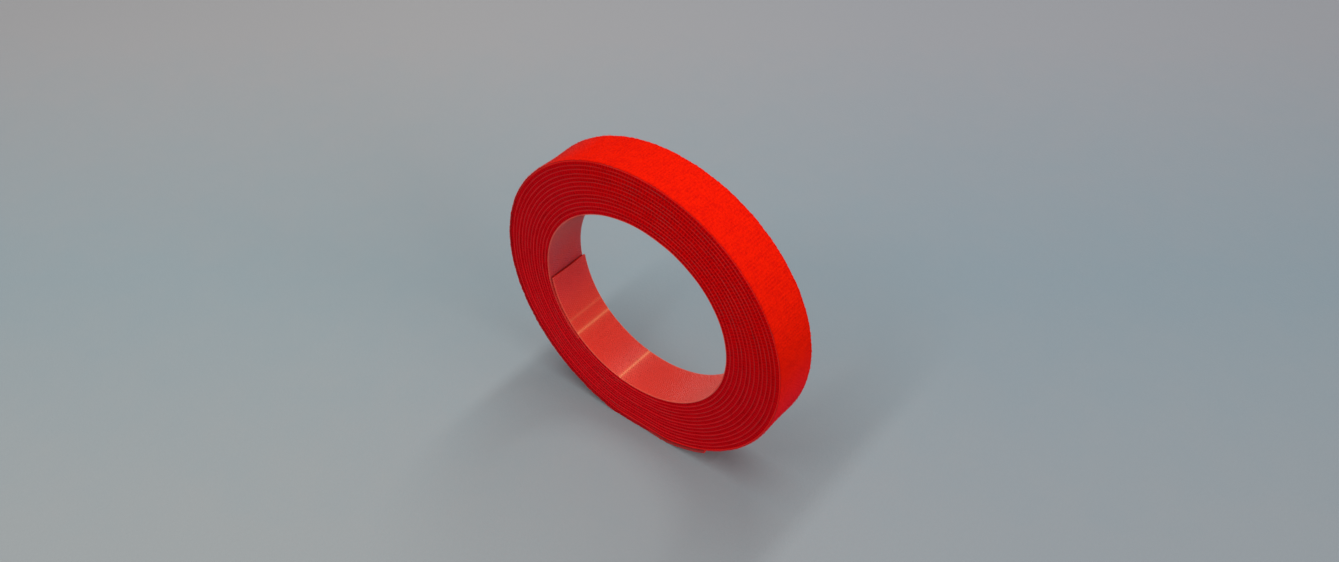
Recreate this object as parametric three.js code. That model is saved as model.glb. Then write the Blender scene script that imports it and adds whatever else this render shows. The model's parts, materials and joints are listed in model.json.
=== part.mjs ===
// Hook and loop tape roll, built as it is made: a moulded hook film and a loop cloth are bonded back to back
// into one tape, and the tape is wound on itself without a core. The roll stands on its rim.
// Millimetres, +Z up. The axis of the winding lies along Y, and the front face looks towards -Y.
// Angles are in degrees, from +X towards +Z.

import * as THREE from "three";

// The tape: its width and its three layers, from the bore side outwards
const tapeWidth = 16;
const filmThickness = 0.26;
const bondThickness = 0.07;
const clothThickness = 0.45;

// The depth between two turns, where the hooks of one stand in the pile of the other
const engagedDepth = 0.57;

// The winding, from the free end in the bore to the free end on the rim
const boreRadius = 34.2;
const wholeTurns = 14;
const innerEndAngle = 188.75;
const outerEndAngle = 300.5;
const stepsPerTurn = 25;

// How the soft coil sits: each turn is a little wider than high, and the bore lies off centre
const ovalInner = 0.74;
const ovalOuter = 0.75;
const ovalLean = 17;
const boreShiftX = -1.46;
const boreShiftZ = -0.62;

// The weight of the roll presses its rim flat on the ground
const groundAngle = 270;
const groundFlatDepth = 1.1;

// The end on the rim is pressed down into the pile of the turn under it
const hugAngle = 24;
const hugDepth = 0.35;

// The two free ends peel off in short links, parted by fine cuts where the tape bends
const outerEndLinks = 3;
const outerLinkLength = 7;
const innerEndLinks = 2;
const innerLinkLength = 10.8;
const cutWidth = 0.3;

// Values worked out from those sizes
const degree = Math.PI / 180;
const fullTurn = 360;
const tapeThickness = filmThickness + bondThickness + clothThickness;
const turnPitch = tapeThickness + engagedDepth;
const windingAngle = wholeTurns * fullTurn + outerEndAngle - innerEndAngle;
const stepAngle = fullTurn / stepsPerTurn;
const groundStep = groundAngle - stepAngle / 2 - innerEndAngle;

// Each layer's two faces, as heights above the inner face of the film
const layers = {
  film: { bottom: 0, top: filmThickness },
  bond: { bottom: filmThickness, top: filmThickness + bondThickness },
  cloth: { bottom: filmThickness + bondThickness, top: tapeThickness },
};

const finishes = {
  film: { color: 0xb9362e, roughness: 0.38, metalness: 0 },
  bond: { color: 0x8c1414, roughness: 0.7, metalness: 0 },
  cloth: { color: 0xe01f0d, roughness: 0.95, metalness: 0 },
};

// Radius of the film's inner face before the ground presses on it. A winding angle of 0 is the end in the bore.
function looseRadius(winding) {
  const angle = innerEndAngle + winding;
  const share = winding / windingAngle;
  const wound = boreRadius + (turnPitch * winding) / fullTurn;
  const lean = THREE.MathUtils.lerp(ovalLean, 0, share);
  const oval = THREE.MathUtils.lerp(ovalInner, ovalOuter, share) * Math.cos(2 * (angle - lean) * degree);
  const shift = boreShiftX * Math.cos(angle * degree) + boreShiftZ * Math.sin(angle * degree);
  const hug = hugDepth * THREE.MathUtils.smoothstep(winding, windingAngle - hugAngle, windingAngle);
  return wound + oval + (1 - share) * shift - hug;
}

// Whole turns that lie over a point of the winding
function turnsOver(winding) {
  return Math.floor((windingAngle - winding) / fullTurn);
}

// Distance from the winding's axis to the ground
function groundDistance() {
  const turnsToEnd = Math.floor((outerEndAngle - groundAngle) / fullTurn);
  const winding = windingAngle - (outerEndAngle - groundAngle - turnsToEnd * fullTurn);
  return looseRadius(winding) + tapeThickness - groundFlatDepth;
}

// Radius of the film's inner face. The rim is pressed in as far as the ground, and each turn under it a little less.
function filmRadius(winding) {
  const over = turnsOver(winding);
  const fromGround = (innerEndAngle + winding - groundAngle) * degree;
  const loose = looseRadius(winding);
  if (Math.cos(fromGround) <= 0) {
    return loose;
  }
  const rim = looseRadius(winding + over * fullTurn) + tapeThickness;
  const pressed = Math.max(0, rim - groundDistance() / Math.cos(fromGround));
  return loose - pressed * (1 - over / wholeTurns);
}

// A corner between two straight steps of the tape. All turns share their step angles, and step 0 lies on the ground.
function stepCorner(step, height) {
  const winding = groundStep + step * stepAngle;
  const angle = (innerEndAngle + winding) * degree;
  const radius = filmRadius(winding) + height;
  return new THREE.Vector2(radius * Math.cos(angle), radius * Math.sin(angle));
}

// A point of the tape: its winding angle, and its height above the film's inner face
function tapePoint(winding, height) {
  const steps = (winding - groundStep) / stepAngle;
  const step = Math.floor(steps);
  return stepCorner(step, height).lerp(stepCorner(step + 1, height), steps - step);
}

// Winding angles of a stretch of tape: its two ends, and the corners between them
function stretch(start, end) {
  const windings = [start];
  for (let step = Math.ceil((start - groundStep) / stepAngle); groundStep + step * stepAngle < end; step++) {
    if (groundStep + step * stepAngle > start) {
      windings.push(groundStep + step * stepAngle);
    }
  }
  return [...windings, end];
}

// One layer of tape as a closed strip of rectangular section, with its points given from an origin
function stripGeometry(windings, layer, origin) {
  const half = tapeWidth / 2;
  const corners = windings.flatMap((winding) => {
    const low = tapePoint(winding, layer.bottom).sub(origin);
    const high = tapePoint(winding, layer.top).sub(origin);
    return [low.x, -half, low.y, high.x, -half, high.y, high.x, half, high.y, low.x, half, low.y];
  });
  const faces = [0, 2, 1, 0, 3, 2];
  for (let k = 0; k + 1 < windings.length; k++) {
    for (let side = 0; side < 4; side++) {
      const a = 4 * k + side;
      const b = 4 * k + ((side + 1) % 4);
      faces.push(a, b, b + 4, a, b + 4, a + 4);
    }
  }
  const last = 4 * (windings.length - 1);
  faces.push(last, last + 1, last + 2, last, last + 2, last + 3);
  const geometry = new THREE.BufferGeometry();
  geometry.setAttribute("position", new THREE.Float32BufferAttribute(corners, 3));
  geometry.setIndex(faces);
  geometry.computeVertexNormals();
  return geometry;
}

// A length of tape: a group with a mesh for each layer, placed at an origin inside its parent
function tapeLength(names, windings, origin, parent) {
  const length = new THREE.Group();
  length.userData.origin = origin;
  const place = origin.clone().sub(parent.userData.origin);
  length.position.set(place.x, 0, place.y);
  for (const [kind, name] of Object.entries(names)) {
    const material = new THREE.MeshStandardMaterial(finishes[kind]);
    const mesh = new THREE.Mesh(stripGeometry(windings, layers[kind], origin), material);
    mesh.name = name;
    length.add(mesh);
  }
  parent.add(length);
  return length;
}

// The winding angle that a length of tape takes up at a place on the winding
function angleOf(length, winding) {
  return length / filmRadius(winding) / degree;
}

const axis = new THREE.Vector2(0, 0);
const roll = new THREE.Group();
roll.userData.origin = axis;

const outerLinkAngle = angleOf(outerLinkLength, windingAngle);
const innerLinkAngle = angleOf(innerLinkLength, 0);
const outerCut = angleOf(cutWidth, windingAngle) / 2;
const innerCut = angleOf(cutWidth, 0) / 2;
const peelStart = windingAngle - outerEndLinks * outerLinkAngle;
const liftStart = innerEndLinks * innerLinkAngle;

// The coil between the two free ends
const coilWindings = stretch(liftStart + innerCut, peelStart - outerCut);
tapeLength({ film: "hook_film", bond: "lamination_bond", cloth: "loop_cloth" }, coilWindings, axis, roll);

// The end on the rim: each link turns outwards about the cloth face of the cut before it
const hinges = {};
let carrier = roll;
for (let k = 0; k < outerEndLinks; k++) {
  const start = peelStart + k * outerLinkAngle;
  const isTip = k + 1 === outerEndLinks;
  const hinge = tapePoint(start, tapeThickness);
  const windings = stretch(start + outerCut, start + outerLinkAngle - (isTip ? 0 : outerCut));
  const names = { film: `outer_end_film_${k + 1}`, bond: `outer_end_bond_${k + 1}`, cloth: `outer_end_cloth_${k + 1}` };
  carrier = tapeLength(names, windings, hinge, carrier);
  hinges[`outer_end_${k + 1}`] = hinge;
}

// The end in the bore: each link turns inwards about the film face of the cut before it
carrier = roll;
for (let k = 0; k < innerEndLinks; k++) {
  const start = liftStart - k * innerLinkAngle;
  const isTip = k + 1 === innerEndLinks;
  const hinge = tapePoint(start, 0);
  const windings = stretch(start - innerLinkAngle + (isTip ? 0 : innerCut), start - innerCut);
  const names = { film: `inner_end_film_${k + 1}`, bond: `inner_end_bond_${k + 1}`, cloth: `inner_end_cloth_${k + 1}` };
  carrier = tapeLength(names, windings, hinge, carrier);
  hinges[`inner_end_${k + 1}`] = hinge;
}

// The origin is on the ground, under the middle of the roll
const bounds = new THREE.Box3().setFromObject(roll);
const middle = bounds.getCenter(new THREE.Vector3());
roll.position.set(-middle.x, -middle.y, -bounds.min.z);

// Least distance from a face of the tape to the next turn's face over it, measured on points and segments
function leastGap(top, bottom) {
  const windings = stretch(0, windingAngle);
  const segment = new THREE.Line3();
  const nearest = new THREE.Vector3();
  let least = Infinity;
  for (const winding of windings) {
    const low = tapePoint(winding, top);
    const point = new THREE.Vector3(low.x, low.y, 0);
    for (let k = 0; k + 1 < windings.length; k++) {
      if (windings[k] > winding + fullTurn / 2) {
        const from = tapePoint(windings[k], bottom);
        const to = tapePoint(windings[k + 1], bottom);
        segment.set(new THREE.Vector3(from.x, from.y, 0), new THREE.Vector3(to.x, to.y, 0));
        segment.closestPointToPoint(point, true, nearest);
        least = Math.min(least, nearest.distanceTo(point));
      }
    }
  }
  return least;
}

for (const [kind, layer] of Object.entries(layers)) {
  console.log(`${kind}: least gap to itself ${leastGap(layer.top, layer.bottom).toFixed(3)} mm`);
}
console.log(`tape: least gap between turns ${leastGap(tapeThickness, 0).toFixed(3)} mm`);
for (const [name, hinge] of Object.entries(hinges)) {
  const x = (hinge.x + roll.position.x).toFixed(4);
  const z = (hinge.y + roll.position.z).toFixed(4);
  console.log(`${name}: hinge line at x ${x}, z ${z}`);
}
console.log(`winding axis at x ${roll.position.x.toFixed(4)}, z ${roll.position.z.toFixed(4)}`);

export default roll;
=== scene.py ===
"""Hook and loop tape roll: a coreless roll of back-to-back tape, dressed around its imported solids.

The roll stands on its rim. Metres, +Z up, with the axis of the winding along Y and the front face towards -Y.
A place on the tape has three coordinates: its winding, in degrees from the cut end in the bore, its distance
across the tape from the middle line, in mm, and its height above the bore face of the film, in mm.
"""

import json
import logging
import math
from collections.abc import Callable
from dataclasses import dataclass, field, replace
from enum import Enum, IntEnum

import bpy
import numpy as np
from bpy.types import Material, NodeSocket, Object
from mathutils import Matrix, Vector


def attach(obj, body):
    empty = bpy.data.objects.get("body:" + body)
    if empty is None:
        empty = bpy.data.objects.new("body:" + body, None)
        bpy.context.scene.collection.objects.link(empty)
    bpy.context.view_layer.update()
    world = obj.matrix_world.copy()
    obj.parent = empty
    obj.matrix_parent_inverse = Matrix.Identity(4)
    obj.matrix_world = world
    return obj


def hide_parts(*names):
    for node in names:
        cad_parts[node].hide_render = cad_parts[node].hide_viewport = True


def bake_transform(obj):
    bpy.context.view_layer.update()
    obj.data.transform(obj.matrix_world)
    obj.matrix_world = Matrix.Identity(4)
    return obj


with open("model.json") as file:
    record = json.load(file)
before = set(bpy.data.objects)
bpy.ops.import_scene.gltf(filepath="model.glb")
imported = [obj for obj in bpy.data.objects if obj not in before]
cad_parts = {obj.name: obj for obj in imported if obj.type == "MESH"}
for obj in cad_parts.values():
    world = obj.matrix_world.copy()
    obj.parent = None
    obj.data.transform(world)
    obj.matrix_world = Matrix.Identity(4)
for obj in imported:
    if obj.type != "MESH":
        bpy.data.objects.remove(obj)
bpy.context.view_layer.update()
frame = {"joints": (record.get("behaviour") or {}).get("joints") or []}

MM = 0.001
FULL_TURN = 360.0
SHARP_ANGLE = 48.0

log = logging.getLogger("tape_roll")

# A span is a low and a high value. In a finish of the tape it is a length along it, in mm, and a band is a
# span of the distance across, squared
Array = np.ndarray
Pair = tuple[Array, Array]
Colour = tuple[float, float, float, float]
Point = tuple[float, float, float]
Span = tuple[float, float]
Value = "Sock | float | int | tuple[float, ...]"
Wave = Callable[[Array, Array], Array]

# The upper part of the roll, in metres along a heading, where the edges take a painted tint for the light,
# and two places along the tape, in mm
UPWARD: Point = (0.5, 0.0, 0.866)
UPPER_PART: Span = (0.054, 0.0865)
RIM_START: Span = (3600.0, 3610.0)
LAST_TURN: Span = (3815.0, 3855.0)

# How far the film of the bore goes on under the next turn, in degrees
BORE_LAP = 3.0

# The links of the two free ends, in mm, and the joints that they turn on
OUTER_LINK = 7.0
INNER_LINK = 10.8
OUTER_JOINTS = ("outer_peel", "outer_bend_2", "outer_bend_3")
INNER_JOINTS = ("inner_lift", "inner_bend_2")


class Side(Enum):
    """A long edge of the tape, as the sign of its distance across."""

    FRONT = -1
    BACK = 1


class Slot(Enum):
    """The record's material slots."""

    FILM = "film"
    BOND = "bond"
    CLOTH = "cloth"


class Seed(IntEnum):
    """Seeds of the random draws. Pieces of one kind count on from theirs."""

    SOFT_CROWN = 11
    FINE_CROWN = 12
    FILM_EDGE = 21
    BOND_EDGE = 22
    CLOTH_EDGE = 23
    PILE_EDGE = 24
    BORE_HOOKS = 31
    EDGE_HOOKS = 32
    HEM_PLACES = 42
    HEM_LOOPS = 44
    RIM_PLACES = 50
    RIM_LOOPS = 60
    END_HOOKS = 70
    END_PLACES = 80
    END_LOOPS = 90


@dataclass(frozen=True)
class Sock:
    """An output socket of a shader node, whose operators add Math nodes."""

    graph: "Graph"
    socket: NodeSocket

    def _math(self, operation: str, first: Value, second: Value) -> "Sock":
        """Adds one Math node that takes two values or sockets."""
        return self.graph.node("ShaderNodeMath", {"operation": operation}, {0: first, 1: second})

    def __add__(self, other: Value) -> "Sock":
        """Sum."""
        return self._math("ADD", self, other)

    __radd__ = __add__

    def __mul__(self, other: Value) -> "Sock":
        """Product."""
        return self._math("MULTIPLY", self, other)

    __rmul__ = __mul__

    def __sub__(self, other: Value) -> "Sock":
        """Difference."""
        return self._math("SUBTRACT", self, other)

    def __rsub__(self, other: Value) -> "Sock":
        """Difference from a number."""
        return self._math("SUBTRACT", other, self)

    def __truediv__(self, other: Value) -> "Sock":
        """Quotient."""
        return self._math("DIVIDE", self, other)

    def sine(self) -> "Sock":
        """Sine of a value in radians."""
        return self._math("SINE", self, 0.0)

    def steps(self, low: float, high: float) -> "Sock":
        """A smooth step from 0 at low to 1 at high."""
        inputs = {"Value": self, "From Min": low, "From Max": high}
        return self.graph.node("ShaderNodeMapRange", {"interpolation_type": "SMOOTHSTEP"}, inputs)

    def within(self, rise: Span, fall: Span) -> "Sock":
        """A smooth rise from 0 to 1 over one span, and a fall over the next."""
        return self.steps(*rise) * (1.0 - self.steps(*fall))


class Graph:
    """A material and its nodes."""

    def __init__(self, name: str) -> None:
        """Makes an empty material.

        Args:
            name: the material's name.
        """
        self.material = bpy.data.materials.new(name)
        self.material.use_nodes = True
        self.tree = self.material.node_tree
        self.tree.nodes.clear()

    def node(self, kind: str, settings: dict, inputs: dict, output: int | str = 0) -> Sock:
        """Adds a node of any type.

        Args:
            kind: the node's type.
            settings: its properties, or the stops of its colour ramp, which are set first.
            inputs: a value or a socket for each input, by name or number.
            output: the output that is wanted.

        Returns:
            The wanted output.
        """
        made = self.tree.nodes.new(kind)
        for name, value in settings.items():
            if name == "stops":
                ramp = made.color_ramp.elements
                ramp[0].position, ramp[0].color = value[0]
                ramp[1].position, ramp[1].color = value[-1]
                for place, colour in value[1:-1]:
                    ramp.new(place).color = colour
            else:
                setattr(made, name, value)
        for name, value in inputs.items():
            if isinstance(value, Sock):
                self.tree.links.new(value.socket, made.inputs[name])
            else:
                made.inputs[name].default_value = value
        return Sock(self, made.outputs[output])

    def attribute(self, name: str) -> Sock:
        """A number that the mesh carries at its points."""
        return self.node("ShaderNodeAttribute", {"attribute_name": name}, {}, "Fac")

    def place(self) -> Sock:
        """The place on the object, in metres."""
        return self.node("ShaderNodeTexCoord", {}, {}, "Object")

    def towards(self, heading: Point) -> Sock:
        """How far a place on the object lies along a heading, in metres."""
        inputs = {0: self.place(), 1: heading}
        return self.node("ShaderNodeVectorMath", {"operation": "DOT_PRODUCT"}, inputs, "Value")

    def noise(self, scale: float, detail: float, roughness: float = 0.55) -> Sock:
        """Fractal noise from 0 to 1 on the object's own coordinates, with a scale in grains per metre."""
        inputs = {"Vector": self.place(), "Scale": scale, "Detail": detail, "Roughness": roughness}
        return self.node("ShaderNodeTexNoise", {}, inputs, "Fac")

    def blend(self, share: Value, first: Value, second: Value) -> Sock:
        """Mixes two colours or sockets: a share of 0 is the first, and 1 the second."""
        inputs = {"Factor": share, 6: first, 7: second}
        return self.node("ShaderNodeMix", {"data_type": "RGBA"}, inputs, 2)

    def bump(self, height: Sock, distance: float) -> Sock:
        """A normal bumped by a height from 0 to 1, where 1 stands for a distance in metres."""
        return self.node("ShaderNodeBump", {}, {"Height": height, "Distance": distance})

    def surface(self, inputs: dict) -> Material:
        """Ends the graph in a Principled shader.

        Args:
            inputs: the shader's values and sockets, by name.

        Returns:
            The finished material.
        """
        shader = self.node("ShaderNodeBsdfPrincipled", {}, inputs)
        ending = self.tree.nodes.new("ShaderNodeOutputMaterial")
        self.tree.links.new(shader.socket, ending.inputs["Surface"])
        return self.material


@dataclass(frozen=True)
class FilmFinish:
    """Moulded nylon film with a satin face, white where it has been creased, and with painted shade, sheen
    and highlights.
    """

    name: str = "moulded_film"
    body: Colour = (0.75, 0.027, 0.012, 1.0)
    pale: Colour = (0.79, 0.034, 0.015, 1.0)
    trimmed: Colour = (0.69, 0.004, 0.009, 1.0)
    # Painted shade and sheen: a purplish red on the film by the cut end in the bore
    cut_end_shade_sheen: Colour = (0.76, 0.020, 0.024, 1.0)
    # Painted shade and sheen: a dull purple-grey red for the film past the cut end, where the bore's ceiling
    # is in shade
    bore_shade_sheen: Colour = (0.37, 0.03, 0.085, 1.0)
    # Painted highlight: a light orange for the cut front edge of the turn that the bore shows
    edge_highlight_red: Colour = (0.90, 0.11, 0.055, 1.0)
    # Painted shade: a dark red for film edges that lie in shadow
    edge_shade: Colour = (0.36, 0.002, 0.005, 1.0)
    # Real whitening at the creases, also used for the painted highlight along the bore's front edge
    whitening_and_highlight: Colour = (1.0, 0.27, 0.11, 1.0)
    sheen: Colour = (1.0, 0.93, 0.78, 1.0)
    rib_pitch: float = 0.75
    roughness: float = 0.55
    relief: float = 0.000006
    cut_end_fade: Span = (4.0, 17.0)
    bore_shade_sheen_start: Span = (188.0, 198.0)
    covered: Span = (222.0, 226.0)
    peeling: Span = (3900.0, 3905.0)
    end_edge_shade_band: Span = (42.0, 58.0)
    edge_highlight_band: Span = (57.5, 60.5)
    cut_band: Span = (61.0, 62.0)

    def material(self) -> Material:
        """Mixes two reds by noise; adds painted shade and sheen by the cut end, painted edge highlights and
        shade, whitened creases and ribs.

        Returns:
            The material.
        """
        graph = Graph(self.name)
        cloudy = graph.noise(160.0, 3.0)
        grain = graph.noise(2600.0, 2.0)
        crease = graph.attribute("crease")
        tint = graph.attribute("tint")
        along = graph.attribute("along")
        across = graph.attribute("across")
        beside = across * across
        rib = (across * (math.tau / self.rib_pitch)).sine() * 0.5 + 0.5
        edge = beside.steps(*self.cut_band)
        seen = 1.0 - along.steps(*self.covered)
        # Painted highlight: a band along the front edge of the film where the bore shows it
        edge_highlight = beside.steps(*self.edge_highlight_band) * seen * 0.35
        mottled = graph.blend(cloudy.steps(0.3, 0.75) * 0.5 + tint * 0.3, self.body, self.pale)
        # Painted shade and sheen by the cut end, fading out along the first stretch of tape
        red = graph.blend((1.0 - along.steps(*self.cut_end_fade)) * 0.8, mottled, self.cut_end_shade_sheen)
        # Painted shade and sheen on the bore's film past the cut end, in soft patches
        shade_sheen_share = along.steps(*self.bore_shade_sheen_start) * seen
        shade_sheened = graph.blend(shade_sheen_share * (0.12 + 0.5 * cloudy), red, self.bore_shade_sheen)
        # Whitened creases, plus the painted edge highlight
        whitened_and_highlit = graph.blend((crease + edge_highlight) * (0.75 + 0.25 * grain), shade_sheened, self.whitening_and_highlight)
        # The cut edges, lighter with painted highlight where the bore shows them
        cut = graph.blend(seen * 0.3, self.trimmed, self.edge_highlight_red)
        # Painted shade on the film's edges along the free outer end
        end_edge_shade = along.steps(*self.peeling) * beside.steps(*self.end_edge_shade_band)
        colour = graph.blend(end_edge_shade, graph.blend(edge, whitened_and_highlit, cut), self.edge_shade)
        rough = self.roughness + 0.06 * cloudy + 0.10 * crease
        normal = graph.bump(rib * 0.6 + grain * 0.4, self.relief)
        inputs = {"Base Color": colour, "Roughness": rough, "Normal": normal, "Specular IOR Level": 0.1}
        inputs |= {"Coat Weight": (1.0 - edge) * 0.2, "Coat Roughness": 0.36, "Coat IOR": 1.5}
        inputs |= {"Sheen Weight": 0.36, "Sheen Roughness": 0.52, "Sheen Tint": self.sheen}
        return graph.surface(inputs)


@dataclass(frozen=True)
class EdgeFinish:
    """The film between two turns, of which only the trimmed edge and the first hooks show."""

    name: str = "wound_film"
    trimmed: Colour = (0.73, 0.0058, 0.011, 1.0)
    # Painted light: a purer red for the film edges on the upper part of the roll
    upper: Colour = (0.72, 0.003, 0.003, 1.0)
    opened: Colour = (0.80, 0.028, 0.012, 1.0)
    # Painted light: a bright red for the rim turn's edges, which catch more light
    rim: Colour = (0.95, 0.010, 0.006, 1.0)
    # Painted shade: a dark red for the last stretch of the rim turn's edges
    edge_shade: Colour = (0.40, 0.002, 0.005, 1.0)
    roughness: float = 0.55
    relief: float = 0.000003
    peeling: Span = (3908.0, 3914.0)
    edge_band: Span = (36.0, 52.0)

    def material(self) -> Material:
        """Paints the rim turn's edges lighter and their last stretch darker, as painted light and shade, and
        opens it where the end peels off.

        Returns:
            The material.
        """
        graph = Graph(self.name)
        grain = graph.noise(2600.0, 2.0)
        along = graph.attribute("along")
        across = graph.attribute("across")
        middle = along.steps(*self.peeling) * (1.0 - (across * across).steps(*self.edge_band))
        # Painted light: the upper part of the edges takes a purer red
        trimmed = graph.blend(graph.towards(UPWARD).steps(*UPPER_PART), self.trimmed, self.upper)
        # Painted light on the edges of the rim turn
        rim_lit = graph.blend(along.steps(*RIM_START) * 0.8, trimmed, self.rim)
        # Painted shade on the last stretch of the rim turn
        turns = graph.blend(along.steps(*LAST_TURN), rim_lit, self.edge_shade)
        inputs = {"Base Color": graph.blend(middle, turns, self.opened), "Specular IOR Level": 0.1}
        inputs |= {"Roughness": self.roughness + 0.06 * grain, "Normal": graph.bump(grain, self.relief)}
        return graph.surface(inputs)


@dataclass(frozen=True)
class ClothFinish:
    """Brushed knitted nylon: courses across the tape, a nap of fine loops and a soft sheen."""

    name: str = "brushed_loop_cloth"
    crest: Colour = (0.865, 0.0112, 0.0012, 1.0)
    # Partly painted shade: the red of the knit's valleys
    valley_shade: Colour = (0.69, 0.006, 0.002, 1.0)
    frayed: Colour = (0.91, 0.024, 0.008, 1.0)
    selvedge: Colour = (0.674, 0.0014, 0.007, 1.0)
    # Painted light: a purer red for the selvedges on the upper part of the roll
    upper: Colour = (0.664, 0.0006, 0.0008, 1.0)
    shaded: Colour = (0.385, 0.0008, 0.0036, 1.0)
    # Painted shade: a cooler, deeper red where the rim nears the ground
    ground_shade: Colour = (0.72, 0.0115, 0.028, 1.0)
    # Painted sheen and shade: a dull pinkish red on the rim's far side
    rim_sheen_shade: Colour = (0.56, 0.034, 0.027, 1.0)
    sheen: Colour = (1.0, 0.06, 0.0, 1.0)
    course: float = 1.12
    wale: float = 0.62
    roughness: float = 0.86
    relief: float = 0.00007
    ground_end: Span = (3673.0, 3709.0)
    rim_sheen_start: Span = (3803.0, 3824.0)
    rim_sheen_end: Span = (3834.0, 3880.0)
    selvedge_band: Span = (52.0, 60.5)

    def material(self) -> Material:
        """Paints shade into the valleys of the knit, lifts single threads by their tint and darkens the
        selvedges.

        The rim has painted shade by the ground, and painted sheen and shade on its far side.

        Returns:
            The material.
        """
        graph = Graph(self.name)
        along = graph.attribute("along")
        across = graph.attribute("across")
        tint = graph.attribute("tint")
        fibre = graph.noise(5200.0, 3.0, 0.65)
        tuft = graph.noise(1500.0, 2.0, 0.6).steps(0.3, 0.7)
        patch = graph.noise(420.0, 3.0)
        drift = (patch - 0.5) * 5.0
        course = (along * (math.tau / self.course) + drift).sine() * 0.5 + 0.5
        wale = (across * (math.tau / self.wale) + drift).sine() * 0.5 + 0.5
        weave = course * 0.15 + wale * 0.08
        relief = weave + fibre * 0.22 + tuft * 0.33 + patch.steps(0.3, 0.7) * 0.22
        lift = relief + tint * 0.35
        # The knit's relief darkens its valleys as painted shade, and each thread's tint varies the red at
        # random
        red = graph.blend(lift.steps(0.1, 0.75), self.valley_shade, self.crest)
        dry = graph.blend(tint.steps(0.72, 1.0) * 0.35, red, self.frayed)
        # Painted shade on the rim by the ground
        low = graph.blend(along.within(RIM_START, self.ground_end) * 0.9, dry, self.ground_shade)
        # Painted sheen and shade on the rim's far side
        thread = graph.blend(along.within(self.rim_sheen_start, self.rim_sheen_end) * 0.8, low, self.rim_sheen_shade)
        # Painted light: the upper part of the selvedges takes a purer red
        selvedge = graph.blend(graph.towards(UPWARD).steps(*UPPER_PART), self.selvedge, self.upper)
        rows = graph.blend((lift * 0.6 + course * 0.4).steps(0.1, 0.8), self.shaded, selvedge)
        # The cloth's edges take the selvedge colours, partly for cut fibres and partly as painted shade
        # between turns; the rim turn keeps more of the face colour, as painted light
        rim_turn_lit = 0.75 * along.within(RIM_START, LAST_TURN)
        cut_and_shaded_edge = (across * across).steps(*self.selvedge_band) * (1.0 - rim_turn_lit)
        inputs = {"Base Color": graph.blend(cut_and_shaded_edge, thread, rows), "Roughness": self.roughness + 0.1 * fibre}
        inputs |= {"Normal": graph.bump(relief, self.relief), "Specular IOR Level": 0.015}
        inputs |= {"Sheen Weight": 0.02, "Sheen Roughness": 0.45, "Sheen Tint": self.sheen}
        return graph.surface(inputs)


@dataclass(frozen=True)
class BondFinish:
    """The thin adhesive layer that shows as a dull line at the edges."""

    name: str = "adhesive"
    body: Colour = (0.30, 0.010, 0.009, 1.0)
    squeezed: Colour = (0.40, 0.018, 0.014, 1.0)
    roughness: float = 0.55
    relief: float = 0.00003

    def material(self) -> Material:
        """Varies the red where more adhesive is squeezed out.

        Returns:
            The material.
        """
        graph = Graph(self.name)
        beads = graph.noise(1500.0, 2.0)
        colour = graph.blend(beads.steps(0.4, 0.65), self.body, self.squeezed)
        inputs = {"Base Color": colour, "Roughness": self.roughness + 0.2 * beads}
        return graph.surface(inputs | {"Normal": graph.bump(beads, self.relief)})


@dataclass(frozen=True)
class PaperFinish:
    """Pale card under the roll, with painted light in its greys. Lengths are in metres."""

    name: str = "card"
    # Painted light: greys from near to far, and a tint from left to right, for how the lamps light the card
    near: Colour = (0.313, 0.338, 0.340, 1.0)
    middle: Colour = (0.268, 0.324, 0.342, 1.0)
    far: Colour = (0.340, 0.336, 0.336, 1.0)
    left: Colour = (1.0, 0.99, 0.968, 1.0)
    right: Colour = (0.91, 0.93, 0.958, 1.0)
    # Painted light: a paler card far from the roll, where the lamps don't reach
    distant: Colour = (0.94, 0.96, 0.94, 1.0)
    ahead: Point = (-0.62, 0.78, 0.0)
    aside: Point = (0.78, 0.62, 0.0)
    lead: float = 0.05
    depth: float = 0.3
    half_breadth: float = 0.12
    roughness: float = 0.9
    relief: float = 0.00008
    fade: Span = (0.4, 1.9)

    def material(self) -> Material:
        """Paints light: three greys along one heading and a faint tint along the other, and a paler card far
        from the roll.

        Returns:
            The material.
        """
        graph = Graph(self.name)
        mottle = graph.noise(60.0, 4.0, 0.6)
        # Painted light: the greys run along one heading
        share = (graph.towards(self.ahead) + self.lead) / self.depth + (mottle - 0.5) * 0.25
        stops = [(0.0, self.near), (0.4, self.middle), (1.0, self.far)]
        grey = graph.node("ShaderNodeValToRGB", {"stops": stops}, {"Fac": share}, "Color")
        breadth = (graph.towards(self.aside) + self.half_breadth) / (2.0 * self.half_breadth)
        tint = graph.blend(breadth, self.left, self.right)
        settings = {"data_type": "RGBA", "blend_type": "MULTIPLY"}
        card = graph.node("ShaderNodeMix", settings, {"Factor": 1.0, 6: grey, 7: tint}, 2)
        away = graph.node("ShaderNodeVectorMath", {"operation": "LENGTH"}, {0: graph.place()}, "Value")
        # Painted light: the card pales far from the roll
        colour = graph.blend(away.steps(*self.fade), card, self.distant)
        normal = graph.bump(graph.noise(900.0, 3.0), self.relief)
        return graph.surface({"Base Color": colour, "Roughness": self.roughness, "Normal": normal})


@dataclass(frozen=True)
class Coat:
    """A material, with the record's slot that it stands for."""

    material: Material
    slot: Slot


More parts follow.
